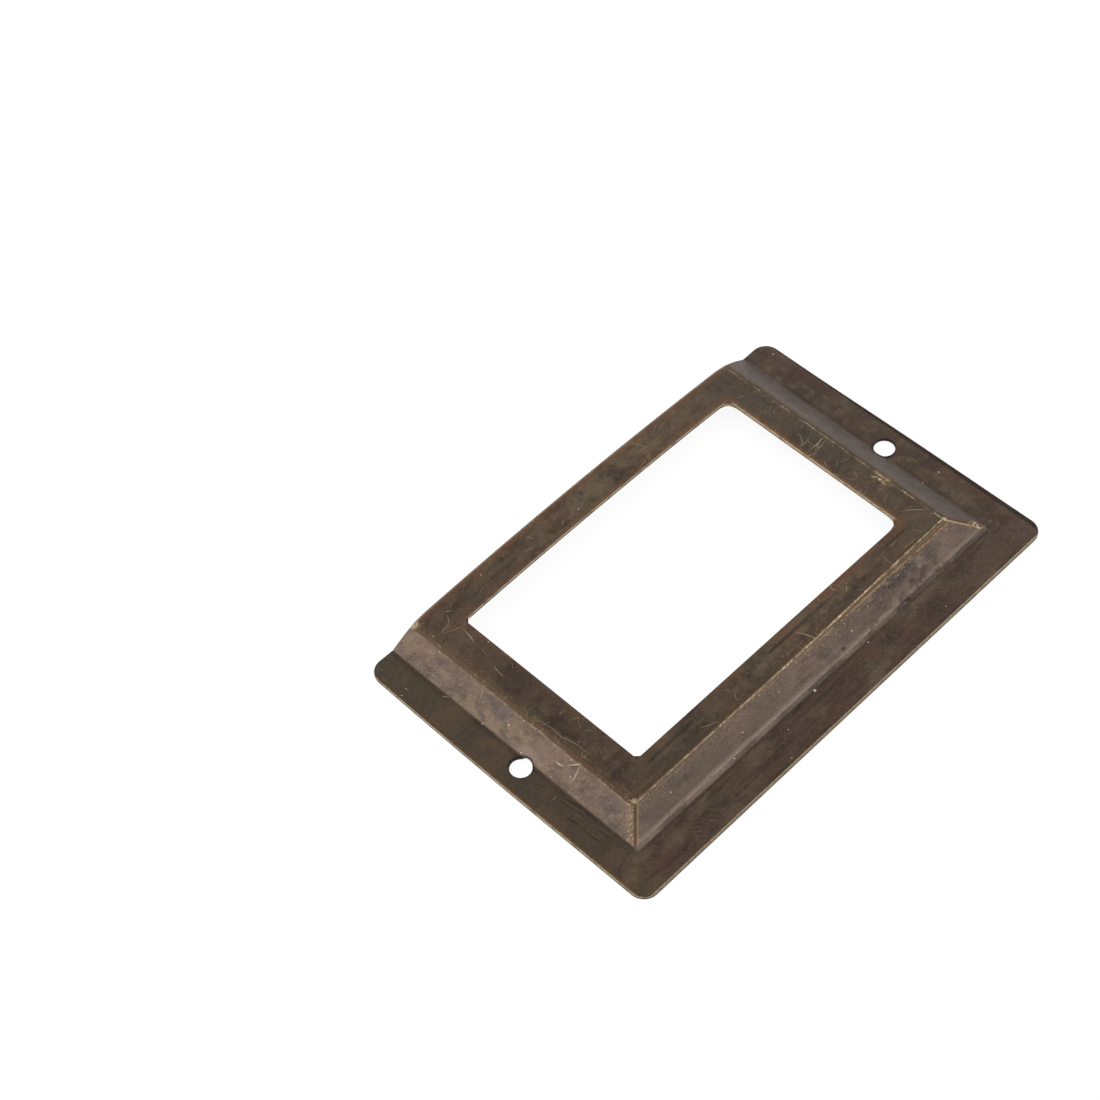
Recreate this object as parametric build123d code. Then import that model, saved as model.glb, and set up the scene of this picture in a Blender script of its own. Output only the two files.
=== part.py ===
from build123d import *
import os
from math import atan2, degrees, tan

# A drawer label holder stamped from one piece of thin brass sheet, in millimetres.
# Its flange lies flat on the drawer front, in the plane z = 0. X runs along the holder,
# +Y towards the open edge where the card slides in, and +Z out of the drawer front.
# The origin is the middle of the flange's outline, on the back face.

# The sheet, and the inside radius of its bends
SHEET = 0.5
BEND_INSIDE = 0.25

# The flange's outline. Pressing the frame draws each end in a little at the open edge
LENGTH = 80.0
DEPTH = 50.5
DRAW_IN = 0.3
CORNER_RADIUS = 2.3

# The raised frame: the flange left outside it, the width of its slopes seen from above,
# the height that it gains, and how far its middle bows up at the open edge
END_FLANGE = 5.0
LONG_FLANGE = 6.4
END_SLOPE = 4.0
LONG_SLOPE = 3.8
RISE_CLOSED_SIDE = 2.3
RISE_OPEN_SIDE = 2.6
CROWN = 1.1

# The window, by the widths of the raised bars left round it
END_BAR = 4.9
CLOSED_BAR = 4.1
OPEN_BAR = 4.85
WINDOW_RADIUS = 0.7

# One screw hole in each end flange
HOLE_DIAMETER = 3.0
HOLE_FROM_END = 3.75

# The bend lines seen from above: the feet of the slopes and the ridges at their tops
FOOT_X = LENGTH / 2 - END_FLANGE
FOOT_Y = LONG_FLANGE - DEPTH / 2
RIDGE_X = FOOT_X - END_SLOPE
RIDGE_Y = FOOT_Y + LONG_SLOPE
OPEN_Y = DEPTH / 2

# How far a cutting or forming tool reaches past the sheet
OVERRUN = 4.0


def skirt(run, rise):
    """How far a slope's line moves out while it goes one sheet's thickness further down."""
    return run / rise * SHEET


def cross_section(y, inset, base):
    """The face under the raised frame's crowned top and two end slopes, at one y."""
    along = (y - RIDGE_Y) / (OPEN_Y - RIDGE_Y)
    rise = RISE_CLOSED_SIDE + (RISE_OPEN_SIDE - RISE_CLOSED_SIDE) * along
    middle = rise + max(CROWN * along, CROWN / 100)
    ridge = RIDGE_X - inset
    foot = FOOT_X - inset + skirt(END_SLOPE, rise)
    top = ThreePointArc((-ridge, rise), (0, middle), (ridge, rise))
    sides = Polyline((ridge, rise), (foot, -SHEET), (-foot, -SHEET), (-ridge, rise))
    plane = Plane(origin=(0, y, base), x_dir=(1, 0, 0), z_dir=(0, -1, 0))
    return plane * make_face([top, *sides.edges()])


def long_slope_limit(inset, base):
    """All that lies under the long slope's plane, which the end slopes meet at two mitres."""
    foot = FOOT_Y + inset
    skirt_y = foot - skirt(LONG_SLOPE, RISE_CLOSED_SIDE)
    steps = (RISE_CLOSED_SIDE + CROWN + OVERRUN) / RISE_CLOSED_SIDE
    high = (foot + LONG_SLOPE * steps, RISE_CLOSED_SIDE * steps)
    far = OPEN_Y + 2 * OVERRUN
    profile = Polyline((skirt_y, -SHEET), high, (far, high[1]), (far, -SHEET), close=True)
    plane = Plane(origin=(0, 0, base), x_dir=(0, 1, 0), z_dir=(1, 0, 0))
    return extrude(plane * make_face(profile), amount=LENGTH, both=True)


def raised_block(inset, base):
    """A solid block with the raised frame's top and its three slopes, running out at the open edge."""
    start = FOOT_Y - skirt(LONG_SLOPE, RISE_CLOSED_SIDE)
    sections = [cross_section(y, inset, base) for y in (start, OPEN_Y + OVERRUN)]
    return loft(sections, ruled=True) & long_slope_limit(inset, base)


def bends(block):
    """The block's edges that aren't on the outer walls of its plate."""
    return block.edges().filter_by(
        lambda e: abs(e.center().X) < LENGTH / 2 and abs(e.center().Y) < OPEN_Y + OVERRUN / 2
    )


def formed_block(inset, base, ridge_radius, foot_radius):
    """The raised block on a plate whose top is at base, with its bends rounded."""
    plate = extrude(
        Pos(0, 0, base) * Rectangle(LENGTH + 2 * OVERRUN, DEPTH + 2 * OVERRUN), -OVERRUN
    )
    block = plate + raised_block(inset, base)
    ridges = bends(block).filter_by(lambda e: e.center().Z > base + SHEET / 2)
    block = fillet(ridges, ridge_radius)
    feet = bends(block).filter_by(lambda e: abs(e.center().Z - base) < SHEET / 100)
    return fillet(feet, foot_radius)


def flange_outline():
    """The sheet's outline in plan, a touch narrower at the open edge, with rounded corners."""
    side_angle = degrees(atan2(DEPTH, DRAW_IN))
    outline = Trapezoid(LENGTH, DEPTH, side_angle)
    return fillet(outline.vertices(), CORNER_RADIUS)


def window():
    """The opening that shows the card, nearer to the closed side's ridge than to the open edge."""
    low, high = RIDGE_Y + CLOSED_BAR, OPEN_Y - OPEN_BAR
    return Pos(0, (low + high) / 2) * RectangleRounded(2 * (RIDGE_X - END_BAR), high - low, WINDOW_RADIUS)


def screw_holes():
    """The two holes, halfway along the end flanges, which just reach the feet of the slopes."""
    middle = LENGTH / 2 - HOLE_FROM_END
    return Sketch() + [Pos(side * middle, 0) * Circle(HOLE_DIAMETER / 2) for side in (-1, 1)]


def label_frame():
    """The finished stamping: the formed sheet, cut to its outline, with its window and holes."""
    slope_angle = atan2(RISE_CLOSED_SIDE, END_SLOPE)
    inner_inset = SHEET * tan(slope_angle / 2)
    outside = formed_block(0, SHEET, BEND_INSIDE + SHEET, BEND_INSIDE)
    inside = formed_block(inner_inset, 0, BEND_INSIDE, BEND_INSIDE + SHEET)
    below = extrude(Rectangle(2 * LENGTH, 2 * DEPTH), -2 * OVERRUN)
    height = SHEET + max(RISE_CLOSED_SIDE, RISE_OPEN_SIDE) + CROWN + OVERRUN
    blank = flange_outline() - window() - screw_holes()
    return (outside - inside - below) & extrude(blank, height)


os.makedirs("parts", exist_ok=True)
frame = label_frame()
export_step(frame, "parts/label_frame.step")
print("label_frame", round(frame.volume, 1), "mm3", frame.bounding_box())
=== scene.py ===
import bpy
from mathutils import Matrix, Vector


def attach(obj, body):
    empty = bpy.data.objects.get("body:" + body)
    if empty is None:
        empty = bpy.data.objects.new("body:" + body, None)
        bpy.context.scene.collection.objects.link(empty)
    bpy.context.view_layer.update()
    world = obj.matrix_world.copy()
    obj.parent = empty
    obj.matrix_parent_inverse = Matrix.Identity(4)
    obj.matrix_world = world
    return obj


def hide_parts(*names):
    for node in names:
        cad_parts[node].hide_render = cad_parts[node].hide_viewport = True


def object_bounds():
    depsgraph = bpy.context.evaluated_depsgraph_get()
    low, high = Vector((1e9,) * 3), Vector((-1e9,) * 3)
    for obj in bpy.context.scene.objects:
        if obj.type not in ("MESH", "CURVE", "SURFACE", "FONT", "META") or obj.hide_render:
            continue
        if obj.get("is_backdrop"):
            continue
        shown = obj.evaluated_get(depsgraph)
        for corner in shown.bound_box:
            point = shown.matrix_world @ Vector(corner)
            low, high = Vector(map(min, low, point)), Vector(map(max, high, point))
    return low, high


bl_info = {
    "name": "Drawer Label Holder",
    "version": (1, 0, 0),
    "blender": (4, 5, 0),
    "location": "View3D > Sidebar > Label Holder",
    "description": "Models a stamped, antiqued brass label holder for a drawer front",
    "category": "Add Mesh",
}

from math import atan, copysign, cos, exp, hypot, pi, radians, sin, tan

import bmesh
import bpy
from mathutils import Matrix, Vector

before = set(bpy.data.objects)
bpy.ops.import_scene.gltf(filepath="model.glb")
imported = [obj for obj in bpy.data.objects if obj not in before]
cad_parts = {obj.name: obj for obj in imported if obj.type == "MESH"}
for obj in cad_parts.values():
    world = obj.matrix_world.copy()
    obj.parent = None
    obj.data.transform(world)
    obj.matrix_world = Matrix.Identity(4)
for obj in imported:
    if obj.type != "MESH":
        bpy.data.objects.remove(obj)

MM = 0.001
CAD_NODE = "label_frame"
CAD_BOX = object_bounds()

# In millimetres: how close two lengths are that count as the same, how close two points are that are
# merged, and a length that reaches through the sheet
SAME = 1e-3
WELD = 0.01
THROUGH = 1000


def linear(hex_color):
    """The linear RGBA of an sRGB hex colour such as "#4b4035"."""
    parts = [int(hex_color[i : i + 2], 16) / 255 for i in (1, 3, 5)]
    return (*(p / 12.92 if p <= 0.04045 else ((p + 0.055) / 1.055) ** 2.4 for p in parts), 1.0)


def length(name, description, millimetres):
    """A length property, shown in Blender's own units."""
    return bpy.props.FloatProperty(
        name=name, description=description, default=millimetres * MM, unit="LENGTH", precision=5
    )


def color(name, description, hex_color):
    """A colour property, given as the sRGB hex value that the eye sees."""
    return bpy.props.FloatVectorProperty(
        name=name, description=description, default=linear(hex_color), size=4, subtype="COLOR"
    )


def angle(name, description, degrees):
    """An angle property, given in degrees."""
    return bpy.props.FloatProperty(
        name=name, description=description, default=radians(degrees), subtype="ANGLE"
    )


def level(name, description, value):
    """A plain number, such as a lamp's brightness."""
    return bpy.props.FloatProperty(name=name, description=description, default=value, min=0.0)


class HolderSizes(bpy.types.PropertyGroup):
    """The stamping's sizes: the CAD model's, but for a few where this one holder is bent or dented."""

    length: length("Length", "The flange's outline along the long side", 80.0)
    depth: length("Depth", "The flange's outline across, from the closed side to the open edge", 50.5)
    sheet: length("Sheet", "The thickness of the brass sheet", 0.5)
    draw_in: length("Draw-in", "How much narrower each end is at the open edge", 0.3)
    corner_radius: length("Corner Radius", "The rounding of the outline's corners", 2.3)
    end_flange: length("End Flange", "The flat flange at each end", 5.0)
    long_flange: length("Long Flange", "The flat flange along the closed side", 6.4)
    end_slope: length("End Slope", "The end slopes' width, seen from above", 4.0)
    long_slope: length("Long Slope", "The long slope's width, seen from above", 3.8)
    rise: length("Rise", "How high the frame stands off the flange at the closed side", 2.3)
    open_rise: length("Open Rise", "How much higher its ends stand at the open edge", 0.2)
    crown: length("Crown", "How far the open edge bows up in its middle", 0.95)
    shoulder: length("Shoulder", "How far the ridges' ends sink at the open edge", 0.25)
    corner_lift: length("Corner Lift", "How far the flange's corners lift at the open edge", 0.3)
    drawn_corner: length("Drawn Corner", "How far the right end is drawn out at the closed side", 0.4)
    end_bulge: length("End Bulge", "How far pressing the holes and slopes pushed both ends out", 0.13)
    end_bar: length("End Bar", "The raised bar between the window and an end slope", 4.9)
    closed_bar: length("Closed Bar", "The raised bar between the window and the long slope", 4.1)
    open_bar: length("Open Bar", "The raised bar between the window and the open edge", 4.97)
    window_radius: length("Window Radius", "The rounding of the window's corners", 0.6)
    blunt_corner: length("Blunt Corner", "How much blunter the window's two right corners are", 0.5)
    hole: length("Screw Hole", "The screw holes' diameter", 3.0)
    hole_inset: length("Hole Inset", "From each end of the outline to the middle of its screw hole", 3.75)
    bend_radius: length("Bend Radius", "The rounding inside every bend", 0.25)
    edge_radius: length("Edge Radius", "The rounding that punching and tumbling leave on cut edges", 0.11)


class HolderFinish(bpy.types.PropertyGroup):
    """The colours of the antiqued brass, some of which are also laid on as painted highlight or painted
    shade.
    """

    olive: color("Olive Patina", "The brown patina's greener parts", "#4b4238")
    brown: color("Brown Patina", "The brown patina's browner clouds", "#55463a")
    red: color("Red Patina", "Clouds where the copper shows through", "#553d33")
    umber: color("Umber Patina", "The browner, redder patina of the long flange", "#51413a")
    smoke: color("Smoky Patina", "The greyer olive clouds towards the far right", "#4d463d")
    # Also laid on as painted shade: just inside the ridges, along the slopes' feet, and on edge roundings
    # that are not turned to -X or -Y
    dark: color("Dark Stain", "Stains where the antiquing bath bit deepest", "#352d2a")
    haze: color("Thin Patina", "Patina that is rubbed a little thinner", "#665848")
    slope: color("Slope Patina", "The thinner, greyer patina of the drawn slopes", "#5d5047")
    pink: color("Pink Slope Patina", "The slopes' redder clouds", "#64534b")
    slope_dark: color("Slope Stain", "The slopes' darker clouds", "#4a413c")
    mauve: color("Mauve Patina", "The cooler tint of the right slope", "#5d524e")
    blot: color("Blot", "The blue-black blots on the long slope", "#363233")
    # Along the long slope's foot this is a painted sheen, standing in for how a rounder bend than the mesh's
    # would catch the light; elsewhere it is the left slope's lighter streaks
    foot: color("Slope Foot", "The light band along the long slope's foot", "#837469")
    tan: color("Tan Patina", "The left slope's lighter, warmer clouds", "#726252")
    foot_light: color("Slope Highlight", "The slopes' lighter streaks", "#6f6157")
    copper: color("Coppery Rim", "The rubbed rims of the window and the open edge", "#714e38")
    # Laid on as a painted highlight band along the window's right rim, which faces -X
    gold: color("Golden Rim", "The most rubbed rim, on the window's right", "#82603f")
    moss: color("Rubbed Patina", "The olive band where a bend is rubbed", "#5c503c")
    ochre: color("Mitre Stain", "The ochre line along the mitres", "#5a4530")
    groove: color("Ridge Stain", "The dark ochre band beside the ridges' bright lines", "#4b3b2d")
    # Just inside the near left edge it is partly painted highlight as well as rubbed brass
    worn: color("Rubbed Brass", "Brass that shows where a bend is rubbed through", "#917d63")
    # Also laid on as painted highlight: with rubbed brass on edge roundings turned to -X or -Y and just
    # inside the front edge, and alone along the window's right rim, on the long slope's foot and as glints at
    # the right mitre's foot
    bright: color("Bare Brass", "Bare brass on the rounding of cut edges", "#b5a488")
    hair: color("Scratch", "Hair-fine scratches through the patina", "#8b7c64")
    speck: color("Pale Speck", "Specks of dust and polish", "#c0b0a0")
    dust: color("Dust", "The few larger grains of dust", "#c3b8ab")
    spark: color("Rubbed Spot", "The bright worn spot beside the right ridge", "#c0a67c")
    pit: color("Dark Pit", "Small pits in the patina", "#29231f")
    # Its darkness is oxide and painted contact shadow; it is also laid on as painted shade round the screw
    # holes and as a painted shadow line just off the long slope's foot
    cut: color("Cut Edge", "The torn face of the cut edge", "#2d2622")


class StudioLook(bpy.types.PropertyGroup):
    """The camera and the lamps."""

    azimuth: angle("Azimuth", "The way the camera looks, turned from +Y towards -X", -44.217)
    elevation: angle("Elevation", "How far the camera looks down", 53.158)
    roll: angle("Roll", "The camera's tilt to one side", -2.018)
    distance: length("Distance", "From the camera to the point that it aims at", 366.34)
    aim_x: length("Aim X", "The point on the table at the middle of the picture", -8.352)
    aim_y: length("Aim Y", "The point on the table at the middle of the picture", 21.930)
    lens: bpy.props.FloatProperty(
        name="Lens", description="The focal length on a 36 mm wide sensor", default=87.56, unit="CAMERA"
    )
    backdrop: color("Backdrop", "The white table and backdrop", "#ffffff")
    fill: level("Fill Light", "How strongly the room lights the holder", 0.5)
    left: level("Left Softbox", "The brightness of the softbox on the left", 1.1)
    right: level("Right Softbox", "The brightness of the softbox on the right", 0.6)


def sizes_in_mm():
    """Every size of the holder in millimetres, and the places of its bend lines."""
    props = bpy.context.scene.holder_sizes
    size = type("Size", (), {name: getattr(props, name) / MM for name in HolderSizes.__annotations__})
    size.foot_x = size.length / 2 - size.end_flange
    size.foot_y = size.long_flange - size.depth / 2
    size.ridge_x = size.foot_x - size.end_slope
    size.ridge_y = size.foot_y + size.long_slope
    size.open_y = size.depth / 2
    size.window_x = size.ridge_x - size.end_bar
    size.window_low = size.ridge_y + size.closed_bar
    size.window_high = size.open_y - size.open_bar
    size.hole_x = size.length / 2 - size.hole_inset
    slope_angle = atan(size.rise / size.end_slope)
    size.ridge_bend = (size.bend_radius + size.sheet) * tan(slope_angle / 2)
    size.foot_bend = size.bend_radius * tan(slope_angle / 2)
    return size


def select(kind, test):
    """Selects just the vertices, edges or faces of the piece in edit mode that pass the test."""
    bpy.context.tool_settings.mesh_select_mode = (kind == "VERT", kind == "EDGE", kind == "FACE")
    bpy.ops.mesh.select_all(action="DESELECT")
    data = bpy.context.object.data
    mesh = bmesh.from_edit_mesh(data)
    for part in {"VERT": mesh.verts, "EDGE": mesh.edges, "FACE": mesh.faces}[kind]:
        if test(part):
            part.select_set(True)
    mesh.select_flush_mode()
    bmesh.update_edit_mesh(data)


def move(shift):
    """Moves each vertex of the piece in edit mode by what shift gives for its place."""
    data = bpy.context.object.data
    mesh = bmesh.from_edit_mesh(data)
    for vertex in mesh.verts:
        vertex.co += Vector(shift(vertex.co))
    mesh.normal_update()
    bmesh.update_edit_mesh(data)


def middle(part):
    """The middle of an edge or a face."""
    return sum((v.co for v in part.verts), Vector()) / len(part.verts)


def near(a, b):
    """Whether two lengths in millimetres are the same."""
    return abs(a - b) < SAME


def cut(axis, place):
    """Cuts the whole piece along the plane that stands across an axis at that place, in millimetres."""
    bpy.ops.mesh.select_all(action="SELECT")
    point, across = [0.0, 0.0, 0.0], [0.0, 0.0, 0.0]
    point[axis] = place
    across[axis] = 1.0
    bpy.ops.mesh.bisect(plane_co=point, plane_no=across, threshold=WELD)


def cut_blank(size):
    """One half of the flat sheet, x from 0 up: its outline and the window's half, with rounded corners."""
    bpy.ops.transform.resize(value=(size.length / 2, size.depth, 1))
    bpy.ops.transform.translate(value=(size.length / 4, 0, size.sheet))
    select("VERT", lambda v: near(v.co.x, size.length / 2) and v.co.y > 0)
    bpy.ops.transform.translate(value=(-size.draw_in, 0, 0))
    cut(0, size.window_x)
    cut(1, size.window_low)
    cut(1, size.window_high)

    def in_window(face):
        at = middle(face)
        return at.x < size.window_x and size.window_low < at.y < size.window_high

    select("FACE", in_window)
    bpy.ops.mesh.delete(type="FACE")
    bpy.ops.mesh.select_all(action="SELECT")
    bpy.ops.mesh.dissolve_limited(angle_limit=radians(0.2))
    select("VERT", lambda v: v.co.x > size.foot_x)
    bpy.ops.mesh.bevel(offset=size.corner_radius, segments=10, affect="VERTICES")
    select("VERT", lambda v: near(v.co.x, size.window_x))
    bpy.ops.mesh.bevel(offset=size.window_radius, segments=6, affect="VERTICES")


def punch_hole(size):
    """The screw hole: a square round its place, whose edge is drawn in to a circle."""
    margin = 1.0
    room = size.hole / 2 + margin
    steps = 10
    for axis, place in ((0, size.hole_x - room), (0, size.hole_x + room), (1, -room), (1, room)):
        cut(axis, place)
    centre = Vector((size.hole_x, 0, size.sheet))
    select("FACE", lambda f: (middle(f) - centre).length < room)
    bpy.ops.mesh.delete(type="ONLY_FACE")

    def is_rim(edge):
        at = middle(edge) - centre
        return edge.is_boundary and max(abs(at.x), abs(at.y)) < room + WELD

    select("EDGE", is_rim)
    bpy.ops.mesh.subdivide(number_cuts=steps - 1)
    select("EDGE", is_rim)
    bpy.ops.mesh.extrude_edges_move()
    bpy.ops.transform.tosphere(value=1)
    rim = [v.co for v in bmesh.from_edit_mesh(bpy.context.object.data).verts if v.select]
    drawn = sum((co - centre).length for co in rim) / len(rim)
    inward = size.hole / 2 / drawn
    bpy.ops.transform.resize(value=(inward, inward, 1), center_override=centre)


def mark_bends(size):
    """The bend lines: feet and ridges that end where they meet, and the mitre between the two corners."""
    for axis, place in ((0, size.foot_x), (0, size.ridge_x), (1, size.foot_y), (1, size.ridge_y)):
        cut(axis, place)

    def runs_on(edge):
        at = middle(edge)
        ends = [v.co for v in edge.verts]
        if near(ends[0].x, ends[1].x):
            return (near(at.x, size.foot_x) and at.y < size.foot_y) or (
                near(at.x, size.ridge_x) and at.y < size.ridge_y
            )
        return near(ends[0].y, ends[1].y) and (
            (near(at.y, size.foot_y) and at.x > size.foot_x)
            or (near(at.y, size.ridge_y) and at.x > size.ridge_x)
        )

    select("EDGE", runs_on)
    bpy.ops.mesh.dissolve_edges()
    corners = [(size.foot_x, size.foot_y), (size.ridge_x, size.ridge_y)]
    select("VERT", lambda v: any(near(v.co.x, x) and near(v.co.y, y) for x, y in corners))
    bpy.ops.mesh.vert_connect_path()


def raise_frame(size):
    """Presses the frame up, and rounds its ridges and mitres, then the feet of its slopes."""

    def lift(place):
        end = (size.foot_x - place.x) / size.end_slope
        side = (place.y - size.foot_y) / size.long_slope
        return (0, 0, size.rise * min(max(min(end, side), 0), 1))

    move(lift)
    bend = radians(5)
    select("EDGE", lambda e: not e.is_boundary and e.calc_face_angle_signed() > bend)
    bpy.ops.mesh.bevel(offset=size.ridge_bend, segments=6)
    select("EDGE", lambda e: not e.is_boundary and e.calc_face_angle_signed() < -bend)
    bpy.ops.mesh.bevel(offset=size.foot_bend, segments=4, clamp_overlap=False)
    bpy.ops.mesh.select_all(action="SELECT")
    bpy.ops.mesh.remove_doubles(threshold=WELD)


def divide(size, step):
    """Lays a fine net over the flat parts between the bends, so that they can bow."""
    half, end = size.length / 2, size.depth / 2
    flats = {
        0: (
            (0, size.window_x),
            (size.window_x, size.ridge_x - size.ridge_bend),
            (size.ridge_x + size.ridge_bend, size.foot_x - size.foot_bend),
            (size.foot_x + size.foot_bend, half),
        ),
        1: (
            (-end, size.foot_y - size.foot_bend),
            (size.foot_y + size.foot_bend, size.ridge_y - size.ridge_bend),
            (size.ridge_y + size.ridge_bend, size.window_low),
            (size.window_low, size.window_high),
            (size.window_high, end),
        ),
    }
    for axis, spans in flats.items():
        for low, high in spans:
            count = round((high - low) / step)
            for i in range(1, count):
                cut(axis, low + (high - low) * i / count)
    cut(0, size.window_x)
    cut(1, size.window_low)
    cut(1, size.window_high)
    bpy.ops.mesh.select_all(action="SELECT")
    bpy.ops.mesh.remove_doubles(threshold=WELD)


def bow(size):
    """Springs the sheet, as pressing and handling left it.

    The frame stands higher towards the open edge, bows up across it and is soft-shouldered there. Both ends
    bulge a little, the right one is drawn out at its closed corner, the open corners of the flange lift, and
    the window's right corners are blunter than the left ones.
    """
    shoulder_reach, bulge_reach, corner_reach = 1.2, 16.0, 1.0
    diagonal = 0.7

    def shift(place):
        along = max(0, (place.y - size.ridge_y) / (size.open_y - size.ridge_y))
        past_end = abs(place.x) - size.ridge_x
        outer = max(0, past_end) / (size.length / 2 - size.ridge_x)
        inside = 1 - min(1, abs(place.x) / size.ridge_x) ** 2
        share = (place.z - size.sheet) / size.rise
        bowed = along * (size.open_rise * share + size.crown * inside)
        shoulder = -size.shoulder * exp(-((past_end / shoulder_reach) ** 2)) * along**6
        lifted = size.corner_lift * outer * max(0, place.y / size.open_y) ** 3
        bulge = size.end_bulge * outer * exp(-((place.y / bulge_reach) ** 2))
        bulge = copysign(bulge, place.x)
        drawn = size.drawn_corner * outer * (0.5 - place.y / size.depth) if place.x > 0 else 0
        high = 2 * place.y > size.window_low + size.window_high
        corner_y = size.window_high if high else size.window_low
        reach = hypot(place.x - size.window_x, place.y - corner_y)
        blunt = size.blunt_corner * diagonal * exp(-((reach / corner_reach) ** 2))
        return (bulge + drawn - blunt, -blunt if high else blunt, bowed + shoulder + lifted)

    move(shift)


def add_modifier(piece, kind, **settings):
    """Adds a modifier with its settings and applies it."""
    modifier = piece.modifiers.new(kind.title(), kind)
    for name, value in settings.items():
        setattr(modifier, name, value)
    bpy.ops.object.modifier_apply(modifier=modifier.name)


def add(tree, kind, inputs=(), **settings):
    """Adds a node with its settings, and gives its inputs, in order or by identifier, a value or a link."""
    made = tree.nodes.new("ShaderNode" + kind)
    for name, value in settings.items():
        setattr(made, name, value)
    if not isinstance(inputs, dict):
        inputs = {socket.identifier: value for socket, value in zip(made.inputs, inputs)}
    for socket in made.inputs:
        value = inputs.get(socket.identifier)
        if isinstance(value, bpy.types.NodeSocket):
            tree.links.new(value, socket)
        elif value is not None:
            socket.default_value = value
    return next((s for s in made.outputs if s.enabled), None)


def new_material(name):
    """An empty material, and its empty node tree."""
    material = bpy.data.materials.new(name)
    material.use_nodes = True
    material.node_tree.nodes.clear()
    return material, material.node_tree


def surface(tree):
    """The point on the piece in millimetres, and the way it faces."""
    coordinates = add(tree, "TexCoord").node.outputs
    here = add(tree, "VectorMath", {"Vector": coordinates["Object"], "Scale": 1 / MM}, operation="SCALE")
    return here, coordinates["Normal"]


def metal(tree, color, roughness, normal=None):
    """Ends a material as metal of that colour and roughness."""
    inputs = {"Base Color": color, "Metallic": 1.0, "Roughness": roughness, "Normal": normal}
    add(tree, "OutputMaterial", (add(tree, "BsdfPrincipled", inputs),))


def meet(tree, first, *others):
    """Where all of the masks meet."""
    for other in others:
        first = add(tree, "Math", (first, other), operation="MULTIPLY")
    return first


def layered(tree, color, layers):
    """Lays each layer's colour over the ones below, where its mask says."""
    for above, share in layers:
        inputs = {"Factor_Float": share, "A_Color": color, "B_Color": above}
        color = add(tree, "Mix", inputs, data_type="RGBA")
    return color


def patches(tree, here, across, low, high, most=1.0, stretch=None, turn=0.0):
    """Cloudy patches about so many millimetres across: none below the low level, most above the high one.

    They can be stretched by so much along X and Y, and turned. Patches of one size fall in the same places,
    so each set has a size of its own.
    """
    if stretch:
        scale = (across * stretch[0], across * stretch[1], across)
        laid = {"Vector": here, "Rotation": (0, 0, radians(turn)), "Scale": scale}
        here = add(tree, "Mapping", laid, vector_type="TEXTURE")
        across = 1.0
    cloud = add(tree, "TexNoise", {"Vector": here, "Scale": 1 / across, "Detail": 4.0, "Roughness": 0.6})
    return add(tree, "MapRange", (cloud, low, high, 0.0, most), interpolation_type="SMOOTHSTEP")


def clouded(tree, here, *rows):
    """Yields each row's colour and mask: where its masks meet, in patches of its settings, if any."""
    for above, masks, *settings in rows:
        if settings:
            masks = (*masks, patches(tree, here, *settings))
        yield above, meet(tree, *masks)


def zones(tree, off, *rows):
    """Masks or strengths that change over a stretch: a distance's name, both ends, and the value at each."""
    return [add(tree, "MapRange", (off[name], *ends)) for name, *ends in rows]


def frayed(tree, value, fray, ragged, outer, inner, most=1.0):
    """Where a value is low: a mask that fades in between two values of it, along a ragged border."""
    value = add(tree, "Math", (fray, ragged, value), operation="MULTIPLY_ADD")
    return add(tree, "MapRange", (value, outer, inner, 0.0, most))


def stripe(tree, value, middle, reach, most=1.0, fray=None, ragged=0.0):
    """A soft stripe where a value lies within reach of a middle, ragged by up to so many millimetres."""
    off = add(tree, "Math", (value, middle), operation="SUBTRACT")
    off = add(tree, "Math", (off,), operation="ABSOLUTE")
    outer, inner = reach + ragged / 2, (reach + ragged) / 2
    if fray:
        return frayed(tree, off, fray, ragged, outer, inner, most)
    return add(tree, "MapRange", (off, outer, inner, 0.0, most))


def oval(tree, here, x, y, turn, half_long, half_wide):
    """How far a point lies from the middle of an oval, where 1 is its outline."""
    laid = {
        "Vector": here,
        "Location": (x, y, 0),
        "Rotation": (0, 0, radians(turn)),
        "Scale": (half_long, half_wide, THROUGH),
    }
    laid = add(tree, "Mapping", laid, vector_type="TEXTURE")
    return add(tree, "VectorMath", (laid,), operation="LENGTH").node.outputs["Value"]


def spot(tree, here, x, y, along, across, turn=0.0):
    """An oval spot, so long and so wide in millimetres, with a ragged edge."""
    reach = oval(tree, here, x, y, turn, along / 2, across / 2)
    fray = add(tree, "TexNoise", {"Vector": here, "Scale": 1 / 0.8, "Detail": 3.0})
    return frayed(tree, reach, fray, 1.2, 1.6, 0.9)


def strokes(tree, here, marks, lines):
    """Adds fine lines that taper at their ends to a mask, each by its middle, turn, length and half width."""
    for x, y, turn, long, wide in lines:
        reach = oval(tree, here, x, y, turn, long / 2, wide)
        line = add(tree, "MapRange", (reach, 1.0, 0.3))
        marks = add(tree, "Math", (marks, line), operation="MAXIMUM")
    return marks


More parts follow.
